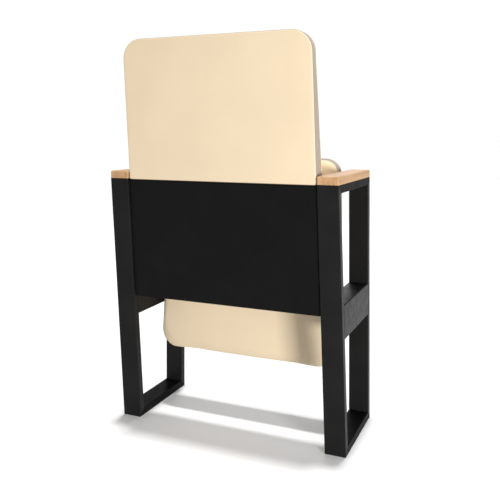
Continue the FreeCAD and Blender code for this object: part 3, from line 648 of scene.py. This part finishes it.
def finish_pad(piece, plane, cloths, node_name, body):
    """Takes a pad from its plane to its place on the chair, hides the CAD node that it stands for
    and puts it on its body.

    Where the plane's directions are left-handed, the pad's faces come out turned, and turn back.
    """
    for v in piece.data.vertices:
        v.co = plane.to_row(v.co)
    piece.data.update()
    if plane.along.cross(plane.depth).x < 0:
        piece.data.flip_normals()
    piece.data.polygons.foreach_set("use_smooth", [True] * len(piece.data.polygons))
    for cloth in cloths:
        piece.data.materials.append(cloth)
    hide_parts(node_name)
    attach(piece, body)


# Materials


def new_material(name, colour, roughness):
    """A material with a plain colour, which the finishes build on, and its shader."""
    material = bpy.data.materials.new(name)
    material.use_nodes = True
    shader = material.node_tree.nodes["Principled BSDF"]
    shader.inputs["Base Color"].default_value = (*colour, 1)
    shader.inputs["Roughness"].default_value = roughness
    return material, shader


def node(material, kind, **values):
    """Adds a shader node; in the names of its sockets a space is written as _."""
    made = material.node_tree.nodes.new(kind)
    for name, value in values.items():
        made.inputs[name.replace("_", " ")].default_value = value
    return made


def link(material, source, target):
    material.node_tree.links.new(source, target)


def spread(material, stretch=(1, 1, 1)):
    """Places on the object, stretched for a grain or a weave."""
    place = node(material, "ShaderNodeTexCoord")
    mapping = node(material, "ShaderNodeMapping", Scale=stretch)
    link(material, place.outputs["Object"], mapping.inputs["Vector"])
    return mapping.outputs["Vector"]


def speckle(material, source, scale, detail):
    """Soft random spots between 0 and 1."""
    noise = node(material, "ShaderNodeTexNoise", Scale=scale, Detail=detail)
    link(material, source, noise.inputs["Vector"])
    return noise.outputs["Fac"]


def ramp(material, source, low, high, start=0.3, end=0.7):
    """Turns a value into a colour between two."""
    made = node(material, "ShaderNodeValToRGB")
    stops = made.color_ramp.elements
    stops[0].position = start
    stops[0].color = (*low, 1)
    stops[1].position = end
    stops[1].color = (*high, 1)
    link(material, source, made.inputs["Fac"])
    return made.outputs["Color"]


def band(material, source, low, high, start=0.3, end=0.7):
    """Turns a value into another between two."""
    limits = {"From_Min": start, "From_Max": end, "To_Min": low, "To_Max": high}
    made = node(material, "ShaderNodeMapRange", **limits)
    link(material, source, made.inputs["Value"])
    return made.outputs["Result"]


def multiplied(material, base, tint, share):
    """A colour darkened by another, as far as the share says."""
    mixed = node(material, "ShaderNodeMix")
    mixed.data_type = "RGBA"
    mixed.blend_type = "MULTIPLY"
    mixed.inputs["Factor"].default_value = share
    base_socket, tint_socket = [i for i in mixed.inputs if i.type == "RGBA"]
    link(material, base, base_socket)
    link(material, tint, tint_socket)
    return next(o for o in mixed.outputs if o.type == "RGBA")


def relief(material, shader, source, strength, distance, under=None):
    """Bump from a value, laid over the bump of another relief where one is given."""
    bump = node(material, "ShaderNodeBump", Strength=strength, Distance=distance)
    link(material, source, bump.inputs["Height"])
    if under is not None:
        link(material, under, bump.inputs["Normal"])
    link(material, bump.outputs["Normal"], shader.inputs["Normal"])
    return bump.outputs["Normal"]


def shade(colour, share):
    """A colour made darker or lighter."""
    return tuple(min(1, c * share) for c in colour)


def powder_coat(name, colour, roughness, shine):
    """Satin powder coat: a faint orange peel and small changes of gloss."""
    material, shader = new_material(name, colour, roughness)
    shader.inputs["Specular IOR Level"].default_value = shine
    place = spread(material)
    cloudy = speckle(material, place, scale=14, detail=3)
    tone = ramp(material, cloudy, low=shade(colour, 0.85), high=shade(colour, 1.15))
    link(material, tone, shader.inputs["Base Color"])
    smeared = speckle(material, place, scale=60, detail=4)
    gloss = band(material, smeared, low=roughness - 0.05, high=roughness + 0.06)
    link(material, gloss, shader.inputs["Roughness"])
    peel = speckle(material, place, scale=900, detail=2)
    relief(material, shader, peel, strength=0.25, distance=0.05 * MM)
    return material


def cover_cloth(name, colour):
    """Smooth close-woven cover: a fine weave, soft sheen and a slight change of tone."""
    material, shader = new_material(name, colour, roughness=0.62)
    shader.inputs["Sheen Weight"].default_value = 0.12
    shader.inputs["Sheen Roughness"].default_value = 0.5
    shader.inputs["Specular IOR Level"].default_value = 0.3
    place = spread(material)
    cloudy = speckle(material, place, scale=9, detail=3)
    tone = ramp(material, cloudy, low=shade(colour, 0.975), high=shade(colour, 1.02))
    threads = []
    for stretch in ((1, 1, 0), (0, 0.4, 1)):
        wave = node(material, "ShaderNodeTexWave", Scale=310, Distortion=0.6, Detail=1)
        link(material, spread(material, stretch), wave.inputs["Vector"])
        wave.wave_type = "BANDS"
        wave.bands_direction = "DIAGONAL"
        threads.append(wave.outputs["Fac"])
    weave = node(material, "ShaderNodeMath")
    weave.operation = "MULTIPLY"
    link(material, threads[0], weave.inputs[0])
    link(material, threads[1], weave.inputs[1])
    gaps = ramp(material, weave.outputs[0], (0.6, 0.55, 0.5), (1, 1, 1), start=0, end=1)
    woven = multiplied(material, tone, gaps, share=0.05)
    link(material, woven, shader.inputs["Base Color"])
    under = relief(material, shader, weave.outputs[0], strength=0.12, distance=0.08 * MM)
    slack = speckle(material, place, scale=26, detail=3)
    relief(material, shader, slack, strength=0.1, distance=0.6 * MM, under=under)
    return material


def sawn_wood(name, light, dark, roughness, oil):
    """Fine straight grain along the chair's depth, with short pores."""
    material, shader = new_material(name, light, roughness)
    shader.inputs["Specular IOR Level"].default_value = 0.2
    shader.inputs["Coat Weight"].default_value = oil
    shader.inputs["Coat Roughness"].default_value = 0.25
    broad = speckle(material, spread(material, (1, 0.06, 0.6)), scale=55, detail=4)
    fine = speckle(material, spread(material, (1, 0.03, 1)), scale=420, detail=3)
    pores = speckle(material, spread(material, (1, 0.1, 1)), scale=900, detail=1)
    tone = ramp(material, broad, dark, light, start=0.36, end=0.62)
    lines = ramp(material, fine, shade(light, 0.72), (1, 1, 1), start=0.3, end=0.62)
    grained = multiplied(material, tone, lines, share=0.35)
    link(material, grained, shader.inputs["Base Color"])
    gloss = band(material, fine, low=roughness - 0.06, high=roughness + 0.08)
    link(material, gloss, shader.inputs["Roughness"])
    under = relief(material, shader, fine, strength=0.12, distance=0.1 * MM)
    relief(material, shader, pores, strength=0.1, distance=0.06 * MM, under=under)
    return material


def plated_steel(name, colour, roughness):
    """Zinc plating or drawn wire: metal with fine drawn lines and cloudy gloss."""
    material, shader = new_material(name, colour, roughness)
    shader.inputs["Metallic"].default_value = 1
    place = spread(material)
    cloudy = speckle(material, place, scale=90, detail=3)
    tone = ramp(material, cloudy, low=shade(colour, 0.85), high=shade(colour, 1.1))
    link(material, tone, shader.inputs["Base Color"])
    handled = speckle(material, place, scale=240, detail=2)
    gloss = band(material, handled, low=roughness - 0.07, high=roughness + 0.09)
    link(material, gloss, shader.inputs["Roughness"])
    drawn = speckle(material, spread(material, (1, 1, 0.1)), scale=1500, detail=1)
    relief(material, shader, drawn, strength=0.15, distance=0.03 * MM)
    return material


def moulded(name, colour, roughness, grain):
    """Moulded plastic or rubber with a fine eroded grain."""
    material, shader = new_material(name, colour, roughness)
    place = spread(material)
    cloudy = speckle(material, place, scale=40, detail=2)
    tone = ramp(material, cloudy, low=shade(colour, 0.9), high=shade(colour, 1.1))
    link(material, tone, shader.inputs["Base Color"])
    eroded = speckle(material, place, scale=1200, detail=2)
    relief(material, shader, eroded, strength=grain, distance=0.06 * MM)
    return material


def coat(node_name, material):
    """Gives one CAD node its finish."""
    slots = frame["nodes"][node_name].data.materials
    slots.clear()
    slots.append(material)


def dress(slot, material):
    """Gives a finish to every CAD node of one of the record's material slots."""
    for part in frame["record"]["subparts"]:
        if part["material_slot"] == slot:
            coat(part["node"], material)


# Seams


def closed_tube(name, path, radius):
    """A round line of folded cloth through points of the chair, which ends where it starts."""
    made = bmesh.new()
    count = len(path)
    side = None
    loops = []
    for i, place in enumerate(path):
        way = (path[(i + 1) % count] - path[(i - 1) % count]).normalized()
        side = way.orthogonal() if side is None else side - way * side.dot(way)
        side.normalize()
        other = way.cross(side)
        loop = []
        for step in range(SEAM_SIDES):
            turn = 2 * math.pi * step / SEAM_SIDES
            point = place + side * radius * math.cos(turn) + other * radius * math.sin(turn)
            loop.append(made.verts.new(point))
        loops.append(loop)
    for lower, upper in zip(loops, loops[1:] + loops[:1]):
        for i in range(SEAM_SIDES):
            j = (i + 1) % SEAM_SIDES
            made.faces.new((lower[i], lower[j], upper[j], upper[i]))
    bmesh.ops.recalc_face_normals(made, faces=made.faces)
    mesh = bpy.data.meshes.new(name)
    made.to_mesh(mesh)
    made.free()
    mesh.polygons.foreach_set("use_smooth", [True] * len(mesh.polygons))
    return shown(name, mesh)


def border_path(piece, pad, plane):
    """Points round a pad where its face and its border are sewn together."""
    outside = 30 * MM
    places = [v.co for v in piece.data.vertices]
    skin = BVHTree.FromPolygons(places, [f.vertices for f in piece.data.polygons])
    outline = pad.outline(0)
    path = []
    for i, (x, along) in enumerate(outline):
        before = Vector(outline[i - 1])
        after = Vector(outline[(i + 1) % len(outline)])
        way = after - before
        outward = Vector((way.y, -way.x, 0)).normalized()
        edge = Vector((x, along, pad.mount + pad.way * (pad.height(along) - pad.seam_depth())))
        start = plane.to_row(edge + outward * outside)
        inward = plane.to_row(edge) - start
        place = skin.ray_cast(start, inward.normalized())[0]
        if place is not None:
            path.append(place)
    return path


def sew(name, path, radius, cloth, body):
    """Lays a seam along a path, on the body of the pad that it belongs to."""
    seam = closed_tube(name, path, radius)
    seam.data.materials.append(cloth)
    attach(seam, body)


# Operators


class CHAIR_OT_frame_finish(bpy.types.Operator):
    """Gives the steel frame, the rear panel and the plastic covers their black finishes, and paints
    shade on the housings and rails with darker copies of the frame's coat
    """

    bl_idname = "chair.frame_finish"
    bl_label = "Frame and panel finish"

    def execute(self, context):
        finish = context.scene.chair_finish
        steel = tuple(finish.steel_colour)
        panel = tuple(finish.panel_colour)
        dress("black_steel", powder_coat("satin_black_steel", steel, roughness=0.4, shine=0.06))
        # The housings and rails are the same powder-coated steel as the frame: these darker copies
        # of its coat, with changed shine, are painted shade and painted reflection
        housing = powder_coat(
            "housing_painted_shade_steel", shade(steel, HOUSING_PAINTED_SHADE), roughness=0.44, shine=0.13
        )
        rail = powder_coat("rail_painted_shade_steel", shade(steel, RAIL_PAINTED_SHADE), roughness=0.44, shine=0.02)
        for side in ("left", "right"):
            coat(f"hinge_housing_{side}", housing)
            coat(f"top_rail_{side}", rail)
            coat(f"bottom_rail_{side}", rail)
        dress("black_board", powder_coat("matt_black_panel", panel, roughness=0.6, shine=0.09))
        dress("black_plastic", moulded("black_plastic", steel, roughness=0.5, grain=0.3))
        return {"FINISHED"}


class CHAIR_OT_wood_finish(bpy.types.Operator):
    """Gives the armrests their oiled light wood and the boards their black stain"""

    bl_idname = "chair.wood_finish"
    bl_label = "Wood finish"

    def execute(self, context):
        finish = context.scene.chair_finish
        light = tuple(finish.wood_light)
        dark = tuple(finish.wood_dark)
        oiled = sawn_wood("oiled_light_wood", light, dark, roughness=0.5, oil=0.03)
        dress("armrest_wood", oiled)
        stain_light = shade(light, STAIN)
        stain_dark = shade(dark, STAIN)
        stained = sawn_wood("black_stained_plywood", stain_light, stain_dark, roughness=0.65, oil=0)
        dress("plywood", stained)
        return {"FINISHED"}


class CHAIR_OT_hardware_finish(bpy.types.Operator):
    """Gives pins, screws, springs, bushes and sleeves their finishes"""

    bl_idname = "chair.hardware_finish"
    bl_label = "Hardware finish"

    def execute(self, context):
        zinc = plated_steel("zinc_plated_steel", colour=(0.6, 0.6, 0.58), roughness=0.34)
        wire = plated_steel("oiled_spring_wire", colour=(0.16, 0.16, 0.17), roughness=0.3)
        nylon = moulded("natural_nylon", colour=(0.72, 0.7, 0.64), roughness=0.42, grain=0.12)
        rubber = moulded("black_rubber", colour=(0.02, 0.02, 0.02), roughness=0.8, grain=0.35)
        dress("zinc_steel", zinc)
        dress("spring_steel", wire)
        dress("nylon", nylon)
        dress("rubber", rubber)
        return {"FINISHED"}


class CHAIR_OT_back_upholstery(bpy.types.Operator):
    """Makes the backrest's front cushion and its tight rear cover"""

    bl_idname = "chair.back_upholstery"
    bl_label = "Backrest upholstery"

    def execute(self, context):
        soft = context.scene.chair_upholstery
        plane = back_plane()
        low, high = plane.box("back_cushion")
        pad = Pad(
            low, high, mount=low.z + PAD_GAP, way=1,
            corners=(soft.back_foot_corner, soft.back_top_corner),
            heights=(soft.back_foot_side, soft.back_top_side),
            crown=soft.back_crown, shoulder=soft.crown_reach,
            edge=soft.soft_edge, tuck=CUSHION_TUCK, draw=soft.draw_in,
        )
        upholster("back_pad", pad, plane, soft, "back_cushion", "frame")
        corners = (COVER_FOOT_CORNER, soft.back_top_corner)
        box = plane.box("back_shell")
        cover = thin_cover("back_rear_cover", box, corners, BACK_COVER_CROWN, soft)
        finish_pad(cover, plane, cover_cloths(soft), "back_shell", "frame")
        return {"FINISHED"}


def cover_cloths(soft):
    """The cream cloth of the faces and the greyer cloth of their borders."""
    made = bpy.data.materials
    cream = made.get("cream_cover") or cover_cloth("cream_cover", tuple(soft.cover_colour))
    grey = made.get("grey_border") or cover_cloth("grey_border", tuple(soft.border_colour))
    return cream, grey


def upholster(name, pad, plane, soft, node_name, body):
    """A cushion whose crowned face and drawn-in border are sewn together along its edge."""
    cloths = cover_cloths(soft)
    cushion = shown(name, pad.mesh(name))
    regrid(cushion, soft.voxel)
    swell(cushion, pad, soft)
    cushion.modifiers.new("Smooth", "SUBSURF").levels = 1
    baked(cushion)
    split_border(cushion, pad)
    finish_pad(cushion, plane, cloths, node_name, body)
    path = border_path(cushion, pad, plane)
    sew(f"{name}_seam", path, soft.seam_radius, cloths[0], body)


def thin_cover(name, box, corners, crown, soft):
    """The flat cover of a board's outer side, whose edge turns over into a greyer border."""
    low, high = box
    height = high.z - low.z
    pad = Pad(
        low, high, mount=high.z - PAD_GAP / 2, way=-1,
        corners=corners, heights=(height, height),
        crown=crown, shoulder=COVER_CROWN_REACH,
        edge=soft.cover_edge, tuck=COVER_TUCK, draw=0,
    )
    cover = shown(name, pad.mesh(name))
    split_border(cover, pad)
    return cover


class CHAIR_OT_seat_upholstery(bpy.types.Operator):
    """Makes the seat's crowned cushion and the cover of its underside"""

    bl_idname = "chair.seat_upholstery"
    bl_label = "Seat upholstery"

    def execute(self, context):
        soft = context.scene.chair_upholstery
        plane = seat_plane()
        low, high = plane.box("seat_cushion")
        pad = Pad(
            low, high, mount=low.z + PAD_GAP, way=1,
            corners=(soft.seat_rear_corner, soft.seat_front_corner),
            heights=(soft.seat_rear_side, soft.seat_front_side),
            crown=soft.seat_crown, shoulder=soft.crown_reach,
            edge=soft.soft_edge, tuck=CUSHION_TUCK, draw=soft.draw_in,
        )
        upholster("seat_pad", pad, plane, soft, "seat_cushion", "seat")
        corners = (soft.seat_rear_corner, soft.seat_front_corner)
        box = plane.box("seat_shell")
        cover = thin_cover("seat_lower_cover", box, corners, SEAT_COVER_CROWN, soft)
        cut_for_brackets(cover, plane)
        finish_pad(cover, plane, cover_cloths(soft), "seat_shell", "seat")
        return {"FINISHED"}


def cut_for_brackets(cover, plane):
    """Cuts the lower cover back round the flanges of the seat's brackets."""
    gap = 0.6 * MM
    beyond = 20 * MM
    through = 40 * MM
    for side in ("left", "right"):
        low, high = plane.box(f"seat_bracket_{side}")
        inner = min(abs(low.x), abs(high.x)) - gap
        outer = max(abs(low.x), abs(high.x)) + beyond
        sign = 1 if high.x > 0 else -1
        made = bmesh.new()
        bmesh.ops.create_cube(made, size=1)
        size = (outer - inner, high.y - low.y + 2 * gap, through)
        centre = (sign * (inner + outer) / 2, (low.y + high.y) / 2, 0)
        for v in made.verts:
            v.co = Vector([v.co[i] * size[i] + centre[i] for i in range(3)])
        mesh = bpy.data.meshes.new("cutter")
        made.to_mesh(mesh)
        made.free()
        cutter = shown("cutter", mesh)
        cut = cover.modifiers.new("Cut", "BOOLEAN")
        cut.operation = "DIFFERENCE"
        cut.solver = "EXACT"
        cut.object = cutter
        baked(cover)
        bpy.data.objects.remove(cutter)
        bpy.data.meshes.remove(mesh)


class CHAIR_OT_studio(bpy.types.Operator):
    """Lays the floor, sets the soft lights and stands the camera where the photograph was taken"""

    bl_idname = "chair.studio"
    bl_label = "Studio"

    def execute(self, context):
        studio = context.scene.chair_studio
        lay_floor(tuple(studio.floor_colour))
        hang_backdrop()
        light_room(context.scene, studio)
        stand_camera(context.scene, studio)
        context.scene.view_settings.view_transform = "Standard"
        return {"FINISHED"}


def lay_floor(colour):
    """A plain pale floor, which takes shadows and throws no light back on the chair."""
    reach = FLOOR_REACH
    corners = [(-reach, -reach, 0), (reach, -reach, 0), (reach, reach, 0), (-reach, reach, 0)]
    mesh = bpy.data.meshes.new("floor")
    mesh.from_pydata(corners, [], [(0, 1, 2, 3)])
    floor = shown("floor", mesh)
    material, shader = new_material("pale_floor", colour, roughness=0.85)
    cloudy = speckle(material, spread(material), scale=3, detail=3)
    tone = ramp(material, cloudy, low=shade(colour, FLOOR_CLOUDS), high=colour)
    link(material, tone, shader.inputs["Base Color"])
    mesh.materials.append(material)
    floor.visible_diffuse = False


def hang_backdrop():
    """A white backdrop all round, which the camera sees and which lights nothing."""
    made = bmesh.new()
    bmesh.ops.create_icosphere(made, subdivisions=3, radius=BACKDROP_RADIUS)
    mesh = bpy.data.meshes.new("backdrop")
    made.to_mesh(mesh)
    made.free()
    backdrop = shown("backdrop", mesh)
    for kind in ("diffuse", "glossy", "transmission", "volume_scatter", "shadow"):
        setattr(backdrop, f"visible_{kind}", False)
    material, shader = new_material("white_backdrop", (0, 0, 0), roughness=1)
    shader.inputs["Emission Color"].default_value = (1, 1, 1, 1)
    shader.inputs["Emission Strength"].default_value = 1
    mesh.materials.append(material)


def light_room(scene, studio):
    """Even light from all round, one lamp straight above and two soft ones."""
    world = bpy.data.worlds.new("room")
    world.use_nodes = True
    scene.world = world
    even = world.node_tree.nodes["Background"]
    even.inputs["Color"].default_value = (1, 1, 1, 1)
    even.inputs["Strength"].default_value = studio.room
    overhead = bpy.data.lights.new("overhead", "SUN")
    overhead.energy = studio.overhead
    overhead.angle = OVERHEAD_ANGLE
    shown("overhead", overhead)
    turn = studio.key_turn
    away = Vector((-math.sin(turn), math.cos(turn), SIDE_LIGHT_RISE))
    softbox("front_softbox", studio.front, FRONT_LIGHT_SIZE, FRONT_LIGHT_PLACE)
    softbox("side_softbox", studio.key, SIDE_LIGHT_SIZE, LIGHT_AIM + studio.key_reach * away)


def softbox(name, power, size, place):
    """A soft rectangular lamp that stands at a place and faces the chair."""
    light = bpy.data.lights.new(name, "AREA")
    light.shape = "RECTANGLE"
    light.size, light.size_y = size
    light.energy = power
    lamp = shown(name, light)
    lamp.location = place
    lamp.rotation_euler = (LIGHT_AIM - place).to_track_quat("-Z", "Y").to_euler()


def stand_camera(scene, studio):
    """A level camera whose view is lowered by its lens, so that uprights stay upright."""
    camera = bpy.data.cameras.new("camera")
    camera.lens = studio.lens
    camera.sensor_width = SENSOR_WIDTH
    camera.shift_y = studio.drop
    camera.clip_end = CAMERA_FAR
    stand = shown("camera", camera)
    stand.location = studio.camera_place
    stand.rotation_euler = (math.pi / 2, 0, studio.camera_turn)
    scene.camera = stand


class CHAIR_PT_pieces(bpy.types.Panel):
    """Lists the steps that make the chair's looks, and their settings"""

    bl_idname = "CHAIR_PT_pieces"
    bl_label = "Conference chair"
    bl_space_type = "VIEW_3D"
    bl_region_type = "UI"
    bl_category = "Chair"

    def draw(self, context):
        for operator in OPERATORS:
            self.layout.operator(operator.bl_idname)
        for name in SETTINGS:
            group = getattr(context.scene, name)
            for key in group.bl_rna.properties.keys():
                if key not in ("rna_type", "name"):
                    self.layout.prop(group, key)


OPERATORS = (
    CHAIR_OT_frame_finish,
    CHAIR_OT_wood_finish,
    CHAIR_OT_hardware_finish,
    CHAIR_OT_back_upholstery,
    CHAIR_OT_seat_upholstery,
    CHAIR_OT_studio,
)
SETTINGS = {
    "chair_upholstery": ChairUpholstery,
    "chair_finish": ChairFinish,
    "chair_studio": ChairStudio,
}


def register():
    for group in SETTINGS.values():
        bpy.utils.register_class(group)
    for name, group in SETTINGS.items():
        setattr(bpy.types.Scene, name, PointerProperty(type=group))
    for operator in OPERATORS:
        bpy.utils.register_class(operator)
    bpy.utils.register_class(CHAIR_PT_pieces)


def unregister():
    bpy.utils.unregister_class(CHAIR_PT_pieces)
    for operator in reversed(OPERATORS):
        bpy.utils.unregister_class(operator)
    for name, group in SETTINGS.items():
        delattr(bpy.types.Scene, name)
        bpy.utils.unregister_class(group)


def main():
    register()
    bpy.ops.chair.frame_finish()
    bpy.ops.chair.wood_finish()
    bpy.ops.chair.hardware_finish()
    bpy.ops.chair.back_upholstery()
    bpy.ops.chair.seat_upholstery()
    bpy.ops.chair.studio()


if __name__ == "__main__":
    main()
